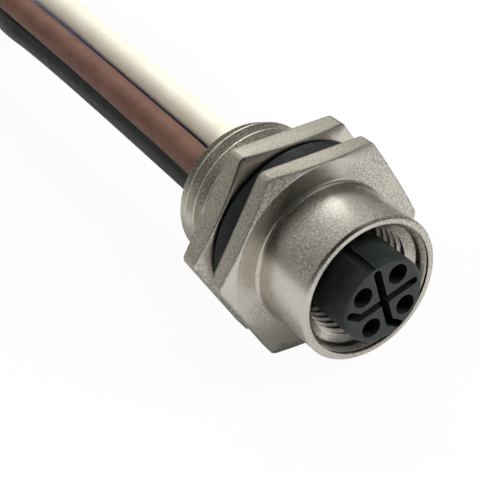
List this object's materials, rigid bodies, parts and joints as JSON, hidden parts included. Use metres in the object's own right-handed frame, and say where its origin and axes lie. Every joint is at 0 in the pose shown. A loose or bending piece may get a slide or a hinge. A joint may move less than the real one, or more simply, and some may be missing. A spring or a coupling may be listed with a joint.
{
  "type": "m12 panel receptacle",
  "caption": "Metal M12 panel socket with hexagonal flange, threaded spigot, panel seal, lock nut and insulated single wires.",
  "frame": {"origin": "on the connector's axis, at the rear (sealing) face of the flange", "axes": "-Y out of the mating face, +Y along the mounting spigot and the wires, +Z out of the flange's upper flat"},
  "size_m": [0.0331, 0.1763, 0.02],
  "materials": {
    "nickel": "satin nickel plate",
    "moulded": "fine moulded",
    "rubber": "matt",
    "gold": "gold plate",
    "resin": "cast",
    "white_pvc": "extruded",
    "brown_pvc": "extruded",
    "black_pvc": "extruded",
    "blue_pvc": "extruded",
    "hank_pvc": "extruded",
    "tin": "tinned strands"
  },
  "bodies": {
    "receptacle": {"shell": "nickel", "insert": "moulded", "insert_seal": "rubber", "contact_1": "gold", "contact_2": "gold", "contact_3": "gold", "contact_4": "gold", "potting": "resin", "wire_white": "white_pvc", "wire_brown": "brown_pvc", "wire_black": "black_pvc", "wire_blue": "blue_pvc", "wire_end_white": "tin", "wire_end_brown": "tin", "wire_end_black": "tin", "wire_end_blue": "tin", "wire_hank": "hank_pvc", "hank_tie": "rubber"},
    "seal_stage": {"panel_seal": "rubber"},
    "nut": {"lock_nut": "nickel"}
  },
  "joints": [
    {"name": "nut_turn", "type": "hinge", "parent": "receptacle", "child": "seal_stage", "pos_m": [0, 0, 0], "axis": [0, 1, 0], "range_deg": [-49, 1777]},
    {"name": "nut_travel", "type": "slide", "parent": "seal_stage", "child": "nut", "axis": [0, 1, 0], "range_m": [-0.0002, 0.0074]}
  ],
  "couplings": [
    {"joint": "nut_turn", "follows": "nut_travel", "rad_per_m": 4188.8}
  ]
}
